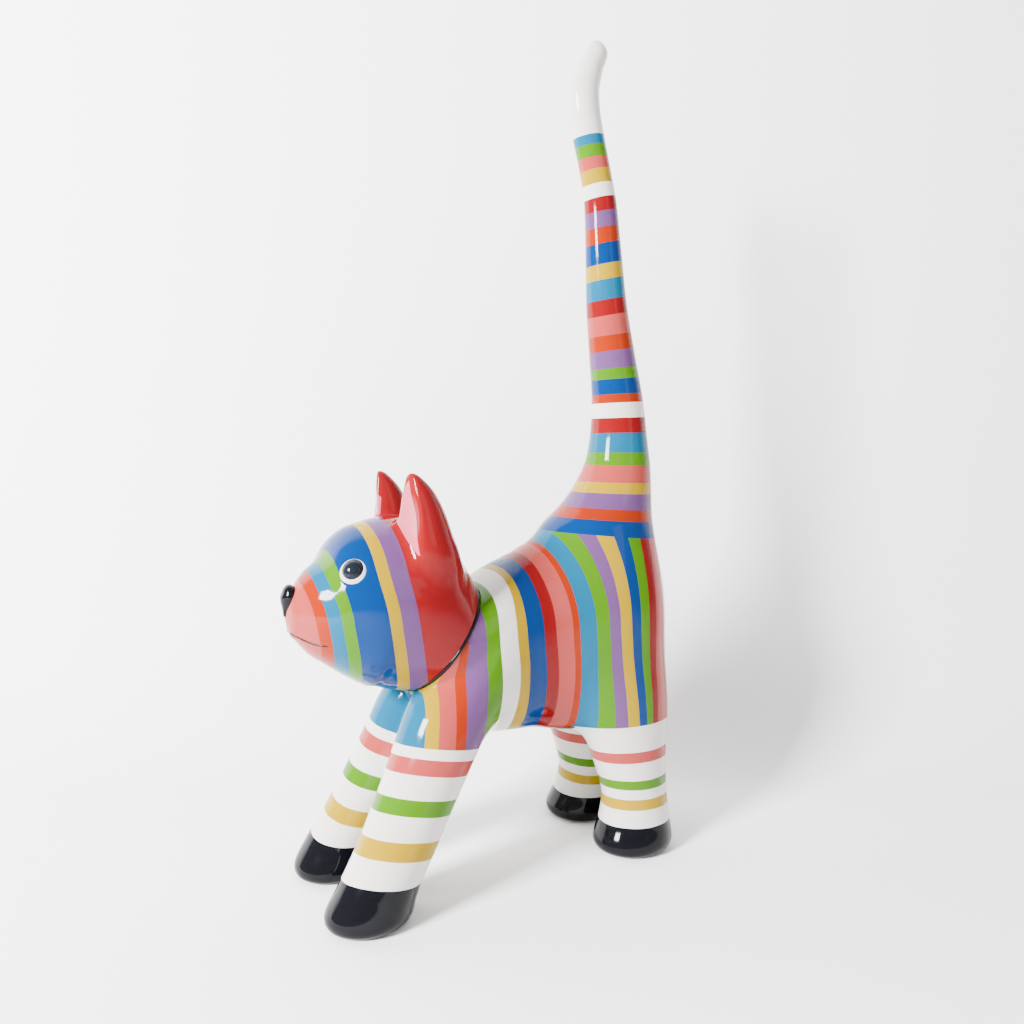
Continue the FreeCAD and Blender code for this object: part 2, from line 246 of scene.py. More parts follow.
# The ear is a rounded cone with a flat, slightly dished front: corners of that front.
EAR_TIP = np.array([30.5, -72.5, 286.0])
EAR_INNER = np.array([15.0, -80.0, 257.0])
EAR_OUTER = np.array([48.5, -71.5, 229.0])
EAR_CONE = [
    (205, 26, -57, 13, 18), (222, 28.5, -58.5, 17, 22.5), (233, 30, -60.5, 18, 22),
    (245, 31, -63.0, 16.3, 19.5), (258, 31, -64.5, 13.6, 16.5), (268, 31, -66.0, 10.8, 13.4),
    (276, 30.8, -67.5, 8.0, 9.8), (282, 30.5, -69.5, 5.4, 6.0), (286, 30.5, -71.0, 2.6, 2.8),
]
EAR_TOP = 286.0
EAR_DISH = 40.0                            # radius of the scooped front
EAR_SCOOP = 2.2
EAR_FRONT_NORMAL = np.cross(EAR_INNER - EAR_TIP, EAR_OUTER - EAR_TIP)
EAR_FRONT_NORMAL = EAR_FRONT_NORMAL / np.linalg.norm(EAR_FRONT_NORMAL)
if EAR_FRONT_NORMAL[1] > 0:
    EAR_FRONT_NORMAL = -EAR_FRONT_NORMAL
EAR_SCOOP_AT = ((EAR_TIP + EAR_INNER + EAR_OUTER) / 3
                + EAR_FRONT_NORMAL * (EAR_DISH - EAR_SCOOP))


def ear(p, side):
    q = p * np.array([side, 1, 1])
    cone = cut(limb(q, EAR_CONE), q[..., 2] - EAR_TOP, 3.0)
    whole = cut(cone, (q - EAR_TIP) @ EAR_FRONT_NORMAL, 2.0)
    scoop = EAR_DISH - np.linalg.norm(q - EAR_SCOOP_AT, axis=-1)
    whole = cut(whole, scoop, 2.0)
    return cut(whole, 205.0 - q[..., 2], 8.0)


def out_of_skull(p):
    g = np.array([(skull(p + d) - skull(p - d)) for d in np.eye(3) * 0.05])
    return g / np.linalg.norm(g)


EYE_OUT = out_of_skull(EYE_SEEN)
EYE_FLUSH = EYE_SEEN - EYE_OUT * skull(EYE_SEEN)
EYE = EYE_FLUSH - EYE_OUT * EYE_SUNK
LID_RADIUS, LID_DEPTH = 14.0, 1.6          # the soft hollow that leaves a brow above


def head(p):
    whole = skull(p)
    free = smoothstep(ahead_of_neck(p), 0.0, 22.0)
    for side in (1, -1):
        mirror = np.array([side, 1, 1])
        whole = join(whole, ear(p, side), 1e-3 + 8.0 * free)
        hollow = (EYE_FLUSH + EYE_OUT * (LID_RADIUS - LID_DEPTH)) * mirror
        whole = cut(whole, LID_RADIUS - np.linalg.norm(p - hollow, axis=-1), 4.0)
    return whole


def nose(p):
    """A rounded wedge, broad above and drawn to a point below."""
    q = p - NOSE
    pad = ellipsoid(q, (0, 0.6, 1.4), (7.4, 5.0, 7.6))
    width = np.maximum(3.4 + 0.22 * np.clip(q[..., 2] + 4, -10, 10), 0.9)
    drop = cut(oval(q[..., 0], q[..., 1], width, 3.8), np.abs(q[..., 2] + 6.0) - 6.0, 2.0)
    return join(pad, drop, 5.0)


# ---- meshing ------------------------------------------------------------------------
def gradient(field, p, h=0.05):
    g = np.empty_like(p)
    for i in range(3):
        d = np.zeros(3)
        d[i] = h
        g[:, i] = (field(p + d) - field(p - d)) / (2 * h)
    return g


def surface(field, low, high, step, rounds=5):
    """Quads over the field's zero: one vertex per crossed cell, pulled onto the surface."""
    low = np.asarray(low, float)
    counts = np.ceil((np.asarray(high, float) - low) / step).astype(int) + 1
    axes = [low[i] + step * np.arange(counts[i]) for i in range(3)]
    values = np.empty(counts, np.float32)
    yy, zz = np.meshgrid(axes[1], axes[2], indexing="ij")
    for i, xv in enumerate(axes[0]):
        values[i] = field(np.stack([np.full_like(yy, xv), yy, zz], -1))
    inside = values < 0
    corners = sum(
        inside[a:counts[0] - 1 + a, b:counts[1] - 1 + b, c:counts[2] - 1 + c].astype(np.int8)
        for a in (0, 1) for b in (0, 1) for c in (0, 1))
    crossed = (corners > 0) & (corners < 8)
    index = np.full(crossed.shape, -1)
    cells = np.argwhere(crossed)
    index[crossed] = np.arange(len(cells))
    points = low + step * (cells + 0.5)
    faces = []
    for axis in range(3):
        a, b = (axis + 1) % 3, (axis + 2) % 3
        first, second = [slice(None)] * 3, [slice(None)] * 3
        first[axis] = slice(0, counts[axis] - 1)
        second[axis] = slice(1, counts[axis])
        starts = inside[tuple(first)]
        edges = np.argwhere(starts != inside[tuple(second)])
        kept = ((edges[:, a] > 0) & (edges[:, b] > 0)
                & (edges[:, a] < counts[a] - 1) & (edges[:, b] < counts[b] - 1))
        edges = edges[kept]
        out = starts[tuple(edges.T)]
        quad = []
        for da, db in ((-1, -1), (0, -1), (0, 0), (-1, 0)):
            cell = edges.copy()
            cell[:, a] += da
            cell[:, b] += db
            quad.append(index[tuple(cell.T)])
        quad = np.stack(quad, -1)
        quad[~out] = quad[~out][:, ::-1]
        faces.append(quad)
    for _ in range(rounds):
        g = gradient(field, points)
        size = np.maximum((g * g).sum(-1), 0.05)
        move = -(field(points) / size)[:, None] * g
        length = np.linalg.norm(move, axis=-1, keepdims=True)
        points = points + move * np.minimum(1, step / np.maximum(length, 1e-9))
    return points, np.concatenate(faces)


def to_bmesh(points, faces):
    bm = bmesh.new()
    verts = [bm.verts.new(p) for p in points]
    for quad in faces:
        corners = [verts[i] for i in dict.fromkeys(quad.tolist())]
        if len(corners) > 2:
            bm.faces.new(corners)
    bm.faces.index_update()
    return bm


ON_PLANE = 2e-3                            # how near to a plane counts as on it, mm
WELD = 1e-4                                # what a plane cut snaps together, mm


def boundary(bm):
    return [e for e in bm.edges if e.is_boundary]


def open_rim(bm, point, normal):
    """The open edges that lie in a plane."""
    point, normal = Vector(point), Vector(normal)
    return [e for e in boundary(bm)
            if all(abs((v.co - point).dot(normal)) < ON_PLANE for v in e.verts)]


def slice_off(bm, point, normal, drop_front=True):
    """Cuts with a plane, drops one side and returns the open rim's edges."""
    geom = bm.verts[:] + bm.edges[:] + bm.faces[:]
    bmesh.ops.bisect_plane(bm, geom=geom, dist=WELD, plane_co=Vector(point),
                           plane_no=Vector(normal), clear_outer=drop_front,
                           clear_inner=not drop_front)
    return open_rim(bm, point, normal)


def slice_faces(bm, faces, point, normal):
    """Cuts only the given faces with a plane and keeps both sides."""
    geom = [v for f in faces for v in f.verts] + [e for f in faces for e in f.edges] + faces
    bmesh.ops.bisect_plane(bm, geom=list(dict.fromkeys(geom)), dist=WELD,
                           plane_co=Vector(point), plane_no=Vector(normal))


def ring_of(bm, centre, normal, radius, count=64):
    across = Vector(normal).orthogonal().normalized()
    side = Vector(normal).cross(across).normalized()
    verts = []
    for i in range(count):
        t = 2 * math.pi * i / count
        out = math.cos(t) * across + math.sin(t) * side
        verts.append(bm.verts.new(Vector(centre) + radius * out))
    return verts, [bm.edges.new((verts[i - 1], verts[i])) for i in range(count)]


def close(bm, rim, normal, bore=None):
    """Caps a flat rim; bore = (centre, radius, depth vector) leaves a blind dowel hole."""
    layer = bm.faces.layers.int.get("flat") or bm.faces.layers.int.new("flat")
    flat = Vector(normal).normalized()
    edges = list(rim)
    hole = []
    if bore:
        centre, radius, depth = bore
        hole, loop = ring_of(bm, centre, flat, radius)
        edges += loop
    made = bmesh.ops.triangle_fill(bm, edges=edges, use_beauty=True, normal=flat)
    for item in made["geom"]:
        if isinstance(item, bmesh.types.BMFace):
            item[layer] = 1
            item.normal_update()
            if item.normal.dot(flat) < 0:
                item.normal_flip()
    if bore:
        deep = [bm.verts.new(v.co + Vector(depth)) for v in hole]
        walls = [bm.faces.new((hole[i - 1], hole[i], deep[i], deep[i - 1]))
                 for i in range(len(hole))]
        floor = bm.faces.new(deep)
        for face in walls + [floor]:
            face[layer] = 1
            face.normal_update()
        middle = Vector(centre) + Vector(depth) / 2
        for face in walls + [floor]:
            if face.normal.dot(middle - face.calc_center_median()) < 0:
                face.normal_flip()


def field_normals(mesh, points, field, flat):
    """A normal for each face corner: the field's own, but level on caps and in bores."""
    slopes = gradient(field, points)
    slopes /= np.maximum(np.linalg.norm(slopes, axis=1, keepdims=True), 1e-9)
    loop_vertex = np.empty(len(mesh.loops), int)
    mesh.loops.foreach_get("vertex_index", loop_vertex)
    totals = np.empty(len(mesh.polygons), int)
    mesh.polygons.foreach_get("loop_total", totals)
    face_normals = np.empty(len(mesh.polygons) * 3)
    mesh.polygons.foreach_get("normal", face_normals)
    of_face = np.repeat(np.arange(len(totals)), totals)
    normals = slopes[loop_vertex]
    on_flat = flat[of_face]
    normals[on_flat] = face_normals.reshape(-1, 3)[of_face][on_flat]
    return normals


def finish_piece(bm, name, body_name, nodes, material, field, attributes=()):
    """Turns a piece in millimetres into its object, with normals from its field if any."""
    layer = bm.faces.layers.int.get("flat")
    bm.verts.ensure_lookup_table()
    loose = [v for v in bm.verts if not v.link_faces]
    bmesh.ops.delete(bm, geom=loose, context="VERTS")
    flat = np.array([bool(layer and f[layer]) for f in bm.faces])
    mesh = bpy.data.meshes.new(name)
    bm.to_mesh(mesh)
    bm.free()
    points = np.empty(len(mesh.vertices) * 3)
    mesh.vertices.foreach_get("co", points)
    points = points.reshape(-1, 3)
    for label, rule in attributes:
        values = mesh.attributes.new(label, "FLOAT", "POINT")
        values.data.foreach_set("value", rule(points).astype(np.float32))
    normals = None if field is None else field_normals(mesh, points, field, flat)
    mesh.vertices.foreach_set("co", (points * MM).ravel())
    mesh.polygons.foreach_set("use_smooth", np.ones(len(mesh.polygons), bool))
    mesh.update()
    if normals is not None:
        mesh.normals_split_custom_set(normals.tolist())
    piece = bpy.data.objects.new(name, mesh)
    bpy.context.scene.collection.objects.link(piece)
    mesh.materials.append(material)
    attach(piece, body_name)
    if nodes:
        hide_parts(*nodes)
    return piece


# ---- stripe coordinates -------------------------------------------------------------
# How far a body stripe leans off upright. Rows: its y at mid height (z 170), then its
# shift in y at z 100 and at z 230.
STRIPE_LEAN = [
    (-60, -18, 0), (-37, -9, 0), (-24, -5, 1), (-8, 2, 5), (8, 6, -6),
    (30, 7, -11), (62, 5, -12), (90, 6, -6.5), (114, 0, 0),
]
STRIPE_MIDDLE = 170.0
STRIPE_DOWN, STRIPE_UP = 70.0, 60.0        # from the middle to where those shifts are full
STRIPE_BEYOND = 1.3                        # the most of a shift that is used past there
BETWEEN_SHIFT = 40.0                       # the teal of the chest runs back between the legs


def body_stripe(p):
    y, z = p[:, 1], p[:, 2]
    k = np.array(STRIPE_LEAN, float)
    low = np.clip((STRIPE_MIDDLE - z) / STRIPE_DOWN, 0, STRIPE_BEYOND)
    high = np.clip((z - STRIPE_MIDDLE) / STRIPE_UP, 0, STRIPE_BEYOND) ** 2
    at = y.copy()
    between = (smoothstep(24 - np.abs(p[:, 0]), 0, 8) * smoothstep(135 - z, 0, 15)
               * smoothstep(-20 - y, 0, 10))
    for _ in range(4):
        at = y - low * spline(k[:, 0], k[:, 1], at) - high * spline(k[:, 0], k[:, 2], at)
    return at - BETWEEN_SHIFT * between


# Slope of the tail's bands along the cat at each height: they follow the tail's bend.
TAIL_BAND_SLOPE = [(236, 0.10), (255, 0.06), (298, 0.0), (335, -0.05), (375, -0.14),
                   (412, -0.20), (530, -0.18)]


def tail_band(p):
    k = np.array(TAIL_BAND_SLOPE, float)
    t = np.array(TAIL, float)
    slope = spline(k[:, 0], k[:, 1], p[:, 2])
    centre = spline(t[:, 0], t[:, 2], p[:, 2])
    return p[:, 2] + slope * (p[:, 1] - centre)


# How far a head stripe leans back at each height.
HEAD_STRIPE_LEAN = [(130, 22), (150, 13), (168, 7), (186, 2.5), (200, 0), (220, -4),
                    (240, -6), (256, -8)]


def head_stripe(p):
    k = np.array(HEAD_STRIPE_LEAN, float)
    return p[:, 1] - spline(k[:, 0], k[:, 1], p[:, 2])


# The middle of each sock's top edge, and that edge's tilt along and splay across the cat.
FRONT_SEAM = (27.3, -52.5, 104.0)
FRONT_TILT, FRONT_SPLAY = -10.0, 8.0
HIND_SEAM = (28.0, 103.0, 97.0)
HIND_TILT, HIND_SPLAY = 0.0, 5.0
SOCK_LEVEL, SOCK_SLOPED = 6.0, 40.0        # z from which, and by which, the bands slope


def limb_centre(stations, z):
    k = np.array(sorted(stations), float)
    return spline(k[:, 0], k[:, 1], z), spline(k[:, 0], k[:, 2], z)


def sock(stations, tilt, splay, side):
    """Like z on the leg, but following the slope of the bands, which fades at the sole."""
    def rule(p):
        k = smoothstep(p[:, 2], SOCK_LEVEL, SOCK_SLOPED)
        shin_x, shin_y = limb_centre(stations, p[:, 2])
        along = (p[:, 1] - shin_y) * math.tan(math.radians(tilt))
        out = (p[:, 0] * side - shin_x) * math.tan(math.radians(splay))
        return p[:, 2] - k * (along + out)
    return rule


# The pink triangle's corners, set in from the corners of the ear's front.
PINK_CORNERS = [EAR_TIP + np.array([0.0, 0, -4.0]), EAR_INNER + np.array([2.5, 0, 1.0]),
                EAR_OUTER + np.array([-2.5, 0, 4.0])]
PINK_DEPTH = 4.0                           # how far behind or ahead of the front it reaches


def ear_pink(p):
    """Negative inside the pink triangle on the ear's front face."""
    q = p.copy()
    q[:, 0] = np.abs(q[:, 0])
    middle = sum(PINK_CORNERS) / 3
    far = np.full(len(q), -1e9)
    for i, corner in enumerate(PINK_CORNERS):
        n = np.cross(PINK_CORNERS[(i + 1) % 3] - corner, EAR_FRONT_NORMAL)
        n = n / np.linalg.norm(n)
        if (middle - corner) @ n > 0:
            n = -n
        far = np.maximum(far, (q - corner) @ n)
    off = np.abs((q - EAR_TIP) @ EAR_FRONT_NORMAL) - PINK_DEPTH
    return np.maximum(far, off)


# ---- paint --------------------------------------------------------------------------
def srgb(r, g, b):
    return tuple((c / 255 / 12.92 if c <= 10 else ((c / 255 + 0.055) / 1.055) ** 2.4)
                 for c in (r, g, b)) + (1.0,)


TEAL = srgb(0, 84, 116)
GREEN = srgb(62, 108, 0)
SALMON = srgb(152, 58, 54)
YELLOW = srgb(152, 122, 0)
WHITE = srgb(204, 201, 195)
RED = srgb(112, 9, 14)
PURPLE = srgb(88, 56, 100)
ORANGE = srgb(134, 34, 2)
BLUE = srgb(0, 44, 98)
BLACK = srgb(9, 10, 14)
HEAD_RED = srgb(120, 14, 19)
EAR_PINK = srgb(180, 86, 100)

# Top down: the z of each colour's upper edge, below the white tip.
TAIL_BANDS = [
    (529.5, TEAL), (521.9, GREEN), (514.7, SALMON), (506, YELLOW), (496.3, WHITE),
    (486, RED), (476.3, PURPLE), (464.3, ORANGE), (453, BLUE), (438.4, YELLOW),
    (427.7, TEAL), (412.2, RED), (401, SALMON), (385.8, ORANGE), (374.2, PURPLE),
    (361.7, GREEN), (353.4, BLUE), (342.4, ORANGE), (334.7, WHITE), (323.4, RED),
    (312.8, TEAL), (297.7, GREEN), (288.4, SALMON), (275.2, YELLOW), (266.3, PURPLE),
    (255, ORANGE), (246.8, BLUE),
]
TAIL_FOOT = 236.3                          # the blue band's lower edge: body stripes below
# Front to rear: the stripe coordinate at which each colour starts, after the teal chest.
BODY_BANDS = [
    (-57, YELLOW), (-51, SALMON), (-43, ORANGE), (-37, PURPLE), (-24, GREEN), (-14, WHITE),
    (0, YELLOW), (8, BLUE), (22, RED), (32, SALMON), (45, ORANGE), (50, TEAL), (62, GREEN),
    (72, PURPLE), (80, YELLOW), (89, BLUE), (98, GREEN), (106, RED), (113.5, SALMON),
]
HEAD_BANDS = [
    (-134, ORANGE), (-128, TEAL), (-121, GREEN), (-114.5, BLUE), (-94, YELLOW),
    (-86.3, PURPLE), (-75, HEAD_RED),
]
FRONT_BANDS = [(25.8, WHITE), (40.2, YELLOW), (50.2, WHITE), (64.4, GREEN), (73.7, WHITE),
               (87.8, SALMON), (97.0, WHITE)]
HIND_BANDS = [(21.5, WHITE), (33.0, YELLOW), (40.5, WHITE), (48, GREEN), (55.6, WHITE),
              (69, SALMON), (77, WHITE)]


BODY_SPAN = (-80, 130)                     # the stripe coordinates that each ramp covers
TAIL_SPAN = (200, 620)
SOCK_SPAN = (-10, 130)
HEAD_SPAN = (-160, -20)
HAIR = 0.08                                # half the soft edge between two paints, mm
BRUSH_WOBBLE = 0.25                        # how far a painted edge wanders, mm
# Noise scales, per metre: broad tone, relief, painted edges and gloss.
TONE_SCALE, RELIEF_SCALE, EDGE_SCALE, GLOSS_SCALE = 22.0, 38.0, 60.0, 90.0
TONE_DARK, TONE_LIGHT = 0.08, 0.06         # how far the brushed tone varies
RELIEF_DEPTH = 0.0006                      # metres
VARNISH_IOR = 1.24


class Paint:
    """Builds one varnished-paint material."""

    def __init__(self, name):
        self.material = bpy.data.materials.new(name)
        self.material.use_nodes = True
        self.nodes = self.material.node_tree.nodes
        self.links = self.material.node_tree.links
        self.shader = self.nodes["Principled BSDF"]

    def attribute(self, label):
        node = self.nodes.new("ShaderNodeAttribute")
        node.attribute_name = label
        return node.outputs["Fac"]

    def bands(self, label, span, first, stops):
        """Constant colour bands over an attribute, with brushed edges."""
        low, high = span
        value = self.wobble(self.attribute(label), BRUSH_WOBBLE)
        along = self.nodes.new("ShaderNodeMapRange")
        along.inputs["From Min"].default_value = low
        along.inputs["From Max"].default_value = high
        self.links.new(value, along.inputs["Value"])
        ramp = self.nodes.new("ShaderNodeValToRGB")
        ramp.color_ramp.interpolation = "CONSTANT"
        self.links.new(along.outputs["Result"], ramp.inputs["Fac"])
        elements = ramp.color_ramp.elements
        elements[0].position, elements[0].color = 0.0, first
        elements.remove(elements[1])
        for at, colour in sorted(stops, key=lambda s: s[0]):
            element = elements.new((at - low) / (high - low))
            element.color = colour
        return ramp.outputs["Color"]

    def above(self, value, level):
        """1 where value is over the level, with a hair's soft edge."""
        step = self.nodes.new("ShaderNodeMapRange")
        step.inputs["From Min"].default_value = level - HAIR
        step.inputs["From Max"].default_value = level + HAIR
        self.links.new(value, step.inputs["Value"])
        return step.outputs["Result"]

    def mix(self, factor, a, b):
        node = self.nodes.new("ShaderNodeMix")
        node.data_type = "RGBA"
        self.links.new(factor, node.inputs[0])
        for socket, value in ((node.inputs[6], a), (node.inputs[7], b)):
            if isinstance(value, tuple):
                socket.default_value = value
            else:
                self.links.new(value, socket)
        return node.outputs[2]

    def noise(self, scale, detail=3.0):
        where = self.nodes.new("ShaderNodeTexCoord")
        node = self.nodes.new("ShaderNodeTexNoise")
        node.inputs["Scale"].default_value = scale
        node.inputs["Detail"].default_value = detail
        self.links.new(where.outputs["Object"], node.inputs["Vector"])
        return node.outputs["Fac"]

    def wobble(self, value, amount):
        """A brushed edge: the painted line wanders by a fraction of a millimetre."""
        soft = self.nodes.new("ShaderNodeMapRange")
        soft.inputs["To Min"].default_value = -amount
        soft.inputs["To Max"].default_value = amount
        self.links.new(self.noise(EDGE_SCALE, 2.0), soft.inputs["Value"])
        total = self.nodes.new("ShaderNodeMath")
        total.operation = "ADD"
        self.links.new(value, total.inputs[0])
        self.links.new(soft.outputs["Result"], total.inputs[1])
        return total.outputs["Value"]

    def varnish(self, colour, rough=0.30, coat=1.0, coat_rough=0.08, bump=0.04, even=0.0):
        """Uneven brushed paint below, an almost level coat of varnish above."""
        tone = self.nodes.new("ShaderNodeMapRange")
        tone.inputs["To Min"].default_value = 1.0 - TONE_DARK * (1 - even)
        tone.inputs["To Max"].default_value = 1.0 + TONE_LIGHT * (1 - even)
        self.links.new(self.noise(TONE_SCALE), tone.inputs["Value"])
        shade = self.nodes.new("ShaderNodeHueSaturation")
        self.links.new(tone.outputs["Result"], shade.inputs["Value"])
        if isinstance(colour, tuple):
            shade.inputs["Color"].default_value = colour
        else:
            self.links.new(colour, shade.inputs["Color"])
        self.links.new(shade.outputs["Color"], self.shader.inputs["Base Color"])
        matt = self.nodes.new("ShaderNodeMapRange")
        matt.inputs["To Min"].default_value = rough - 0.05
        matt.inputs["To Max"].default_value = rough + 0.07
        self.links.new(self.noise(GLOSS_SCALE), matt.inputs["Value"])
        self.links.new(matt.outputs["Result"], self.shader.inputs["Roughness"])
        self.shader.inputs["Coat Weight"].default_value = coat
        self.shader.inputs["Coat Roughness"].default_value = coat_rough
        self.shader.inputs["Coat IOR"].default_value = VARNISH_IOR
        self.shader.inputs["Specular IOR Level"].default_value = 0.0
        relief = self.nodes.new("ShaderNodeBump")
        relief.inputs["Strength"].default_value = bump
        relief.inputs["Distance"].default_value = RELIEF_DEPTH
        self.links.new(self.noise(RELIEF_SCALE, 4.0), relief.inputs["Height"])
        self.links.new(relief.outputs["Normal"], self.shader.inputs["Normal"])
        return self.material


def body_paint():
    """Stripes along the body, and above the tail's foot, bands up the tail."""
    paint = Paint("body_paint")
    stripes = paint.bands("stripe", BODY_SPAN, TEAL, BODY_BANDS)
    upward = sorted(TAIL_BANDS)
    lower_edges = [TAIL_FOOT] + [top for top, _ in upward]
    colours = [colour for _, colour in upward] + [WHITE]
    bands = paint.bands("band", TAIL_SPAN, BLUE, list(zip(lower_edges, colours)))
    over = paint.above(paint.attribute("band"), TAIL_FOOT)
    return paint.varnish(paint.mix(over, stripes, bands))


def sock_paint(name, stops):
    paint = Paint(name)
    return paint.varnish(paint.bands("sock", SOCK_SPAN, BLACK, stops))


def head_paint():
    paint = Paint("head_paint")
    stripes = paint.bands("stripe", HEAD_SPAN, SALMON, HEAD_BANDS)
    pink = paint.mix(paint.above(paint.attribute("ear_pink"), 0.0), EAR_PINK, stripes)
    return paint.varnish(pink)


def plain_gloss(name, colour, rough, bump):
    return Paint(name).varnish(colour, rough=rough, bump=bump)


def dowel_wood():
    paint = Paint("dowel_wood")
    where = paint.nodes.new("ShaderNodeTexCoord")
    grain = paint.nodes.new("ShaderNodeTexWave")
    grain.bands_direction = "X"
    grain.inputs["Scale"].default_value = 90.0
    grain.inputs["Distortion"].default_value = 6.0
    grain.inputs["Detail"].default_value = 3.0
    paint.links.new(where.outputs["Object"], grain.inputs["Vector"])
    tint = paint.mix(grain.outputs["Fac"], srgb(206, 168, 118), srgb(178, 134, 84))
    return paint.varnish(tint, rough=0.55, coat=0.0, bump=0.15)


# ---- the carved body, cut at its glued seams ----------------------------------------
body_material = body_paint()
front_sock = sock_paint("front_sock_paint", FRONT_BANDS)
hind_sock = sock_paint("hind_sock_paint", HIND_BANDS)
head_material = head_paint()
ring_material = plain_gloss("ring_lacquer", BLACK, 0.22, 0.03)
bead_material = plain_gloss("bead_glass", srgb(20, 24, 32), 0.30, 0.02)
nose_material = plain_gloss("nose_lacquer", BLACK, 0.25, 0.05)
rim_material = plain_gloss("eye_rim_paint", WHITE, 0.3, 0.03)
line_material = plain_gloss("face_line_paint", srgb(40, 12, 16), 0.35, 0.05)
wood_material = dowel_wood()

UP = (0.0, 0.0, 1.0)
BODY_LOW, BODY_HIGH = (-68, -142, -4), (68, 146, 604)
TAIL_SEAM = (0.0, 95.0, 245.0)
BEHIND_HEAD = 30.0                         # y ahead of which nothing is tail
BETWEEN_LEGS = 20.0                        # y that parts front legs from hind legs
BELLY_FRONT, BELLY_REAR = -10.0, 58.0      # the belly between them is never cut away
LEGS_BELOW = 140.0                         # z over which nothing is a leg piece
LEG_APART = 0.3                            # each leg's clearance from the middle plane
MIDDLE_SLACK = 1e-4
LEG_DOWEL, TAIL_DOWEL, NECK_DOWEL = 7.0, 8.0, 12.0      # radii
DOWEL_DEPTH, NECK_DEPTH, NECK_DEPTH_HEAD = 27.0, 46.0, 41.0
BODY_PAINTS = (("stripe", body_stripe), ("band", tail_band))


def plane_up(tilt, splay, side):
    """The upward normal of a plane that tilts along and splays across the cat."""
    return Vector((-math.tan(math.radians(splay)) * side, -math.tan(math.radians(tilt)),
                   1.0)).normalized()


def beside(at, leg_name, side, slack=0.0):
    """Whether a point is in the quarter of the figure that a leg comes from."""
    return (at.x * side > -slack and at.z < LEGS_BELOW
            and (at.y < BETWEEN_LEGS) == (leg_name == "front"))


LEGS = []
for leg_name, stations, seam, tilt, splay, leg_material in (
        ("front", FRONT_LEG, FRONT_SEAM, FRONT_TILT, FRONT_SPLAY, front_sock),
        ("hind", HIND_LEG, HIND_SEAM, HIND_TILT, HIND_SPLAY, hind_sock)):
    for side_name, side in SIDES:
        LEGS.append((leg_name, side_name, side, Vector((seam[0] * side, seam[1], seam[2])),
                     plane_up(tilt, splay, side), sock(stations, tilt, splay, side),
                     leg_material))

whole_body = to_bmesh(*surface(body, BODY_LOW, BODY_HIGH, BODY_STEP))

tail_bm = whole_body.copy()
slice_off(tail_bm, (0, BEHIND_HEAD, 0), (0, 1, 0), drop_front=False)
rim = slice_off(tail_bm, TAIL_SEAM, UP, drop_front=False)
close(tail_bm, rim, (0, 0, -1), (TAIL_SEAM, TAIL_DOWEL + DOWEL_FIT, (0, 0, DOWEL_DEPTH)))
finish_piece(tail_bm, "painted_tail", "torso", ["tail"], body_material, body,
             BODY_PAINTS)
rim = slice_off(whole_body, TAIL_SEAM, UP)
close(whole_body, rim, UP, (TAIL_SEAM, TAIL_DOWEL + DOWEL_FIT, (0, 0, -DOWEL_DEPTH)))
slice_off(whole_body, NECK, AXIS)

for leg_name, side_name, side, point, up, leg_rule, leg_material in LEGS:
    part = whole_body.copy()
    slice_off(part, (0, 0, LEGS_BELOW), UP)
    slice_off(part, (0, BETWEEN_LEGS, 0), (0, 1, 0), drop_front=(leg_name == "front"))
    slice_off(part, point, up)
    inner = slice_off(part, (LEG_APART * side, 0, 0), (side, 0, 0), drop_front=False)
    if inner:
        bmesh.ops.holes_fill(part, edges=inner, sides=0)
    close(part, open_rim(part, point, up), up,
          (point, LEG_DOWEL + DOWEL_FIT, up * -DOWEL_DEPTH))
    finish_piece(part, f"painted_{leg_name}_leg_{side_name}", "torso",
                 [f"{leg_name}_leg_{side_name}"], leg_material, body,
                 [("sock", leg_rule)])

for leg_name, side_name, side, point, up, leg_rule, leg_material in LEGS:
    near = [f for f in whole_body.faces
            if all(beside(v.co, leg_name, side, MIDDLE_SLACK) for v in f.verts)]
    slice_faces(whole_body, near, point, up)
    lost = []
    for face in whole_body.faces:
        at = face.calc_center_median()
        if (beside(at, leg_name, side) and (at - point).dot(up) < 0
                and not BELLY_FRONT <= at.y <= BELLY_REAR):
            lost.append(face)
    bmesh.ops.delete(whole_body, geom=lost, context="FACES")
neck_rim = set(open_rim(whole_body, NECK, AXIS))
stumps = [e for e in boundary(whole_body) if e not in neck_rim]
bmesh.ops.holes_fill(whole_body, edges=stumps, sides=0)
close(whole_body, boundary(whole_body), AXIS,
      (Vector(NECK), NECK_DOWEL + DOWEL_FIT, Vector(AXIS) * -NECK_DEPTH))
finish_piece(whole_body, "painted_torso", "torso", ["torso"], body_material,
             body, BODY_PAINTS)

# ---- head and ears ------------------------------------------------------------------
HEAD_LOW, HEAD_HIGH = (-66, -150, 100), (66, 0, 302)
HEAD_FACE = NECK + HEAD_GAP * AXIS
HEAD_PAINTS = (("stripe", head_stripe), ("ear_pink", ear_pink))
EAR_SEAM = (31.0, -64.0, 244.0)
EAR_TILT, EAR_SPLAY = -10.0, -24.0
EARS_ABOVE = 200.0                         # z below which nothing is cut for an ear
EAR_PEG, EAR_PEG_DEPTH = 3.0, 12.0

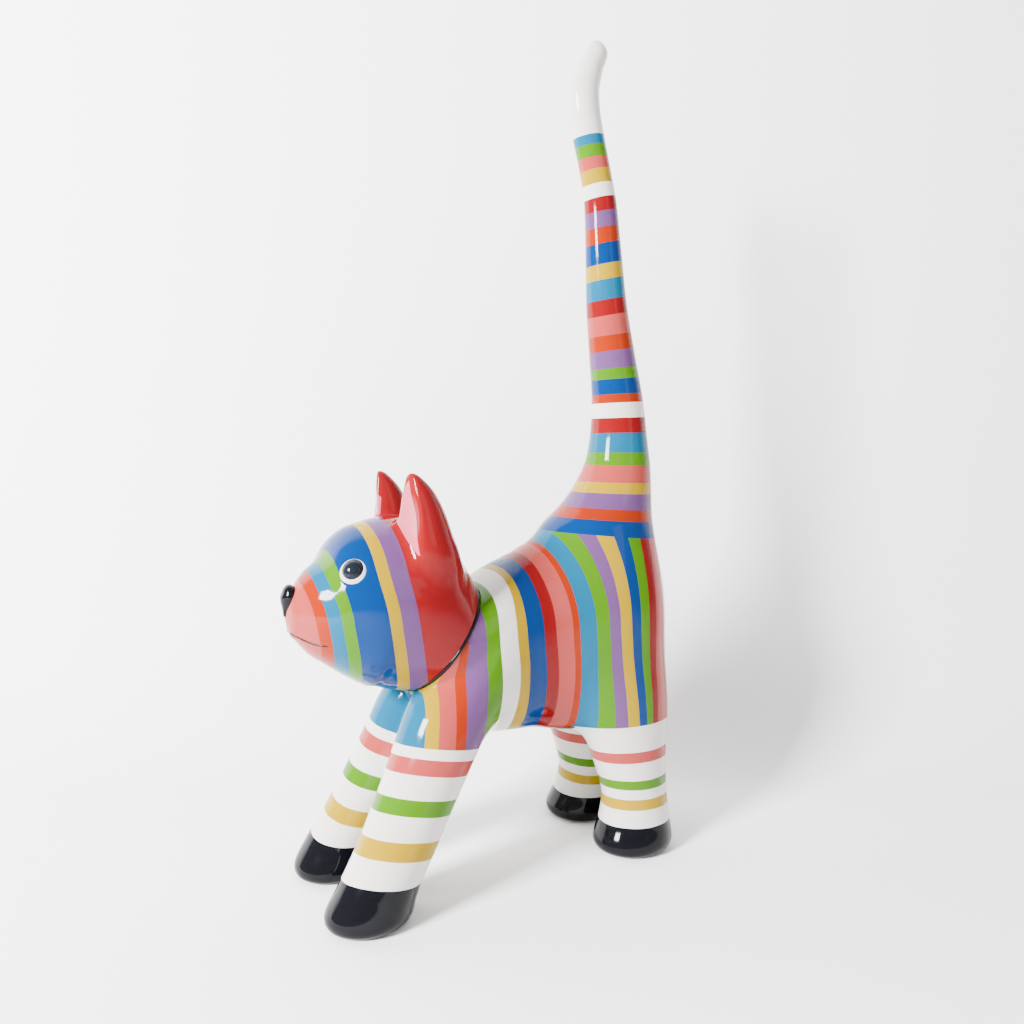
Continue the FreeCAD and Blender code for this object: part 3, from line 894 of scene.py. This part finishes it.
head_bm = to_bmesh(*surface(head, HEAD_LOW, HEAD_HIGH, HEAD_STEP))
rim = slice_off(head_bm, HEAD_FACE, AXIS, drop_front=False)
close(head_bm, rim, -Vector(AXIS),
      (Vector(HEAD_FACE), NECK_DOWEL + DOWEL_FIT, Vector(AXIS) * NECK_DEPTH_HEAD))
for side_name, side in SIDES:
    point = Vector((EAR_SEAM[0] * side, EAR_SEAM[1], EAR_SEAM[2]))
    up = plane_up(EAR_TILT, EAR_SPLAY, side)
    ear_bm = head_bm.copy()
    slice_off(ear_bm, (0, 0, 0), (side, 0, 0), drop_front=False)
    slice_off(ear_bm, point, up, drop_front=False)
    close(ear_bm, boundary(ear_bm), -up, (point, EAR_PEG + DOWEL_FIT, up * EAR_PEG_DEPTH))
    finish_piece(ear_bm, f"painted_ear_{side_name}", "head", [f"ear_{side_name}"],
                 head_material, head, HEAD_PAINTS)
    near = [f for f in head_bm.faces
            if all(v.co.x * side > -MIDDLE_SLACK and v.co.z > EARS_ABOVE for v in f.verts)]
    slice_faces(head_bm, near, point, up)
    lost = [f for f in head_bm.faces if f.calc_center_median().x * side > 0
            and (f.calc_center_median() - point).dot(up) > 0]
    bmesh.ops.delete(head_bm, geom=lost, context="FACES")
    close(head_bm, boundary(head_bm), up, (point, EAR_PEG + DOWEL_FIT, up * -EAR_PEG_DEPTH))
finish_piece(head_bm, "painted_head", "head", ["head"], head_material, head,
             HEAD_PAINTS)

# ---- nose, mouth line and eyes ------------------------------------------------------
NOSE_LOW, NOSE_HIGH = (-11, -152, 188), (11, -130, 220)
NOSE_STEP, EYE_STEP = 0.9, 0.6
finish_piece(to_bmesh(*surface(nose, NOSE_LOW, NOSE_HIGH, NOSE_STEP)), "lacquered_nose",
             "head", ["nose"], nose_material, nose)


def onto_head(p):
    """Points moved along the head's slope until they are on its surface."""
    q = np.array(p, float)
    for _ in range(8):
        g = gradient(head, q)
        size = np.maximum((g * g).sum(-1), 0.05)
        q = q - (head(q) / size)[:, None] * g
    return q


LINE_POINTS, LINE_SIDES, LINE_THICK = 70, 12, 0.5


def painted_line(name, way, half_width):
    """A thin raised brush line that lies on the head and tapers at both ends."""
    k = np.array(way, float)
    t = np.linspace(0, len(k) - 1, LINE_POINTS)
    line = np.stack([spline(np.arange(len(k)), k[:, i], t) for i in range(3)], -1)
    line = onto_head(line)
    normal = gradient(head, line)
    normal /= np.linalg.norm(normal, axis=1, keepdims=True)
    along = np.gradient(line, axis=0)
    along /= np.linalg.norm(along, axis=1, keepdims=True)
    across = np.cross(along, normal)
    taper = np.clip(np.minimum(t, t[-1] - t) / 0.35, 0.15, 1) ** 0.5
    bm = bmesh.new()
    rings = []
    turns = 2 * np.pi * np.arange(LINE_SIDES) / LINE_SIDES
    for i in range(len(line)):
        offsets = (np.cos(turns)[:, None] * across[i] * half_width
                   + np.sin(turns)[:, None] * normal[i] * LINE_THICK) * taper[i]
        rings.append([bm.verts.new(line[i] + o) for o in offsets])
    for a, b in zip(rings, rings[1:]):
        for i in range(LINE_SIDES):
            bm.faces.new((a[i - 1], a[i], b[i], b[i - 1]))
    bm.faces.new(rings[0])
    bm.faces.new(rings[-1][::-1])
    bmesh.ops.recalc_face_normals(bm, faces=bm.faces[:])
    return finish_piece(bm, name, "head", [], line_material, None)


MOUTH = [(3, -146, 184.5), (9, -142, 182.0), (14, -138, 180.5), (20, -133, 179),
         (27, -126, 178.5)]
MOUTH_HALF_WIDTH = 0.75
PHILTRUM = [(0, -147, 196), (0, -147, 190), (0, -146, 185.5)]
PHILTRUM_HALF_WIDTH = 0.8
for side_name, side in SIDES:
    painted_line(f"mouth_line_{side_name}", [(x * side, y, z) for x, y, z in MOUTH],
                 MOUTH_HALF_WIDTH)
painted_line("philtrum_line", PHILTRUM, PHILTRUM_HALF_WIDTH)

BEAD_FLAT = 1.12                           # the bead is this much shorter front to back
BEAD_ROOM, RIM_ROOM = 9.0, 11.0            # half the box that each is meshed in


def bead(side_name, side):
    """A polished bead, slightly flattened, set in its socket."""
    centre = EYE * np.array([side, 1, 1])
    facing = EYE_OUT * np.array([side, 1, 1])

    def field(p):
        rel = p - centre
        out = rel @ facing
        flat = np.linalg.norm(rel - out[..., None] * facing, axis=-1)
        return np.hypot(flat, out * BEAD_FLAT) - EYE_RADIUS

    made = surface(field, centre - BEAD_ROOM, centre + BEAD_ROOM, EYE_STEP)
    finish_piece(to_bmesh(*made), f"eye_bead_{side_name}", "head",
                 [f"eye_{side_name}"], bead_material, field)


RIM_DROP = 0.9                              # the white shows most below the bead
RIM_RADIUS, RIM_THICK = 8.6, 2.4


def eye_rim(side_name, side):
    """The white painted rim: a shallow lens under the bead, set a little lower."""
    mirror = np.array([side, 1, 1])
    facing = EYE_OUT * mirror
    down = np.array([0.0, 0.0, -1.0]) + facing * facing[2]
    down = down / np.linalg.norm(down)
    centre = EYE_FLUSH * mirror - facing * LID_DEPTH + down * RIM_DROP

    def field(p):
        rel = p - centre
        out = rel @ facing
        flat = np.linalg.norm(rel - out[..., None] * facing, axis=-1)
        return oval(flat, out, RIM_RADIUS, RIM_THICK)

    made = surface(field, centre - RIM_ROOM, centre + RIM_ROOM, EYE_STEP)
    finish_piece(to_bmesh(*made), f"eye_rim_{side_name}", "head", [],
                 rim_material, field)


for side_name, side in SIDES:
    bead(side_name, side)
    eye_rim(side_name, side)


# ---- neck ring ----------------------------------------------------------------------
def neck_ring():
    """A flat washer whose outer edge is rounded over."""
    outer = NECK_RADIUS + RING_PROUD
    profile = [(RING_BORE, 0.0), (outer - 0.9, 0.0), (outer - 0.35, 0.2), (outer - 0.08, 0.6),
               (outer, RING_THICK / 2), (outer - 0.08, RING_THICK - 0.6),
               (outer - 0.35, RING_THICK - 0.2), (outer - 0.9, RING_THICK),
               (RING_BORE, RING_THICK)]
    axis = Vector(AXIS)
    across = axis.orthogonal().normalized()
    side = axis.cross(across)
    bm = bmesh.new()
    rows = []
    for i in range(RING_COUNT):
        t = 2 * math.pi * i / RING_COUNT
        out = math.cos(t) * across + math.sin(t) * side
        rows.append([bm.verts.new(Vector(NECK) + r * out + a * axis) for r, a in profile])
    for i in range(RING_COUNT):
        a, b = rows[i - 1], rows[i]
        for j in range(len(profile)):
            bm.faces.new((a[j - 1], a[j], b[j], b[j - 1]))
    bmesh.ops.recalc_face_normals(bm, faces=bm.faces[:])
    ring = finish_piece(bm, "lacquered_neck_ring", "torso", ["neck_ring"],
                        ring_material, None)
    ring.data.set_sharp_from_angle(angle=math.radians(50))


neck_ring()

# ---- carried-over dowels ------------------------------------------------------------
for node in ["neck_dowel", "tail_dowel"] + [
        f"{kind}_{side}" for kind in ("front_leg_dowel", "hind_leg_dowel", "ear_peg")
        for side, _ in SIDES]:
    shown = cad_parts[node]
    shown.data.materials.clear()
    shown.data.materials.append(wood_material)


# ---- studio -------------------------------------------------------------------------
AZIMUTH = math.radians(61.318)
PITCH = math.radians(4.567)
CAMERA_AT = (0.52687, -0.26903, 0.30322)
SENSOR = 36.0
LENS = SENSOR * 828 / 1024
TO_CAMERA = Vector((math.sin(AZIMUTH), -math.cos(AZIMUTH), 0))
TO_RIGHT = Vector((math.cos(AZIMUTH), math.sin(AZIMUTH), 0))
WALL, BEND, WALL_TOP = 0.24, 0.12, 2.6     # how far back, its foot's radius and its height
FLOOR_FRONT, HALF_ACROSS = 2.4, 3.0
LAMPS_AIM = (0, 0, 0.25)
AIR_LIGHT = 0.78


def studio():
    """A pale floor that sweeps up into a wall behind the cat, as seen by the camera."""
    profile = [(-FLOOR_FRONT, 0.0), (WALL - BEND, 0.0)]
    profile += [(WALL - BEND + BEND * math.sin(a), BEND - BEND * math.cos(a))
                for a in np.linspace(0.05, math.pi / 2, 24)]
    profile += [(WALL, WALL_TOP)]
    bm = bmesh.new()
    rows = []
    for s in (-HALF_ACROSS, HALF_ACROSS):
        rows.append([bm.verts.new(-TO_CAMERA * d + TO_RIGHT * s + Vector((0, 0, h)))
                     for d, h in profile])
    for j in range(len(profile) - 1):
        bm.faces.new((rows[0][j], rows[1][j], rows[1][j + 1], rows[0][j + 1]))
    mesh = bpy.data.meshes.new("studio_sweep")
    bm.to_mesh(mesh)
    bm.free()
    mesh.polygons.foreach_set("use_smooth", np.ones(len(mesh.polygons), bool))
    sweep = bpy.data.objects.new("studio_sweep", mesh)
    bpy.context.scene.collection.objects.link(sweep)
    paper = Paint("studio_paper")
    mesh.materials.append(paper.varnish(srgb(247, 247, 247), rough=0.9, coat=0.0, bump=0.0,
                                        even=1.0))
    paper.shader.inputs["Specular IOR Level"].default_value = 0.05


def soft_box(name, place, width, height, power):
    light = bpy.data.lights.new(name, "AREA")
    light.shape = "RECTANGLE"
    light.size, light.size_y, light.energy = width, height, power
    lamp = bpy.data.objects.new(name, light)
    lamp.location = place
    aim = (Vector(LAMPS_AIM) - Vector(place)).to_track_quat("-Z", "Y")
    lamp.rotation_euler = aim.to_euler()
    bpy.context.scene.collection.objects.link(lamp)


studio()
soft_box("key_soft_box", TO_CAMERA * 1.12 - TO_RIGHT * 1.2 + Vector((0, 0, 0.98)),
         0.42, 0.42, 172.0)
soft_box("fill_soft_box", TO_CAMERA * 1.2 + TO_RIGHT * 1.3 + Vector((0, 0, 0.9)),
         0.5, 1.2, 4.0)

world = bpy.data.worlds.new("studio_air")
world.use_nodes = True
air = world.node_tree.nodes["Background"]
air.inputs["Color"].default_value = (1.0, 1.0, 1.0, 1.0)
air.inputs["Strength"].default_value = AIR_LIGHT
bpy.context.scene.world = world

lens = bpy.data.cameras.new("studio_camera")
lens.sensor_width = SENSOR
lens.lens = LENS
camera = bpy.data.objects.new("studio_camera", lens)
forward = Vector((-math.sin(AZIMUTH) * math.cos(PITCH), math.cos(AZIMUTH) * math.cos(PITCH),
                  -math.sin(PITCH)))
above = TO_RIGHT.cross(forward)
camera.matrix_world = Matrix((
    (TO_RIGHT.x, above.x, -forward.x, CAMERA_AT[0]),
    (TO_RIGHT.y, above.y, -forward.y, CAMERA_AT[1]),
    (TO_RIGHT.z, above.z, -forward.z, CAMERA_AT[2]),
    (0, 0, 0, 1),
))
bpy.context.scene.collection.objects.link(camera)
bpy.context.scene.camera = camera
